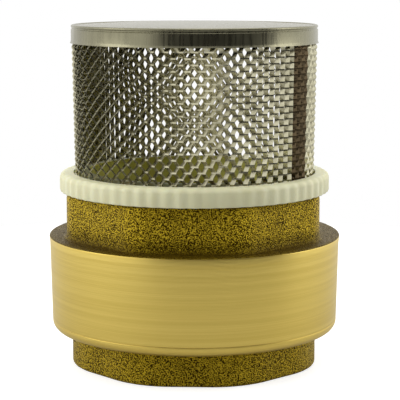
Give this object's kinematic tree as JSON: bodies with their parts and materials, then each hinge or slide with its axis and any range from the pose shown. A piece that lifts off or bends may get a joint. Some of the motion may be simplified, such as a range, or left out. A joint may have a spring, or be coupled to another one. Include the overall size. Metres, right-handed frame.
{
  "type": "foot valve",
  "caption": "Brass spring check valve with octagonal pipe ends and a stainless mesh strainer basket on its inlet.",
  "frame": {"origin": "centre of the outlet's end face, on which the valve stands", "axes": "+Z along the flow axis, from the outlet up to the strainer; +X within 2.3 degrees of square to one flat of each octagon"},
  "size_m": [0.0834, 0.0834, 0.0968],
  "materials": {
    "body_brass": "turned cylinder, sandblasted necks",
    "cast_brass": "fine turned",
    "seal_rubber": "matte nitrile",
    "bush_acetal": "satin",
    "spring_steel": "bright stainless",
    "ring_nylon": "cream, ribbed",
    "mesh_steel": "expanded stainless",
    "lid_steel": "pressed stainless"
  },
  "bodies": {
    "valve_body": {"inlet_half": "body_brass", "outlet_half": "body_brass", "joint_o_ring": "seal_rubber", "guide_spider": "cast_brass", "guide_bush": "bush_acetal", "return_spring": "spring_steel"},
    "shutter": {"shutter_disc": "cast_brass", "shutter_seal": "seal_rubber", "seal_plate": "spring_steel", "plate_screw": "spring_steel", "stem_clip": "spring_steel"},
    "basket": {"strainer_mesh": "mesh_steel", "strainer_lid": "lid_steel"},
    "ring": {"strainer_ring": "ring_nylon"}
  },
  "joints": [
    {"name": "shutter_lift", "type": "slide", "parent": "valve_body", "child": "shutter", "axis": [0, 0, -1], "range_m": [0, 0.008], "stiffness_N_per_m": 500, "springref_m": -0.0072, "deforming": ["return_spring"]},
    {"name": "strainer_rise", "type": "slide", "parent": "valve_body", "child": "basket", "axis": [0, 0, 1], "range_m": [0, 0.01212]},
    {"name": "strainer_turn", "type": "hinge", "parent": "basket", "child": "ring", "pos_m": [0, 0, 0.052], "axis": [0, 0, 1], "range_deg": [0, 1890]}
  ],
  "couplings": [
    {"joint": "strainer_turn", "follows": "strainer_rise", "rad_per_m": 2721.2}
  ]
}
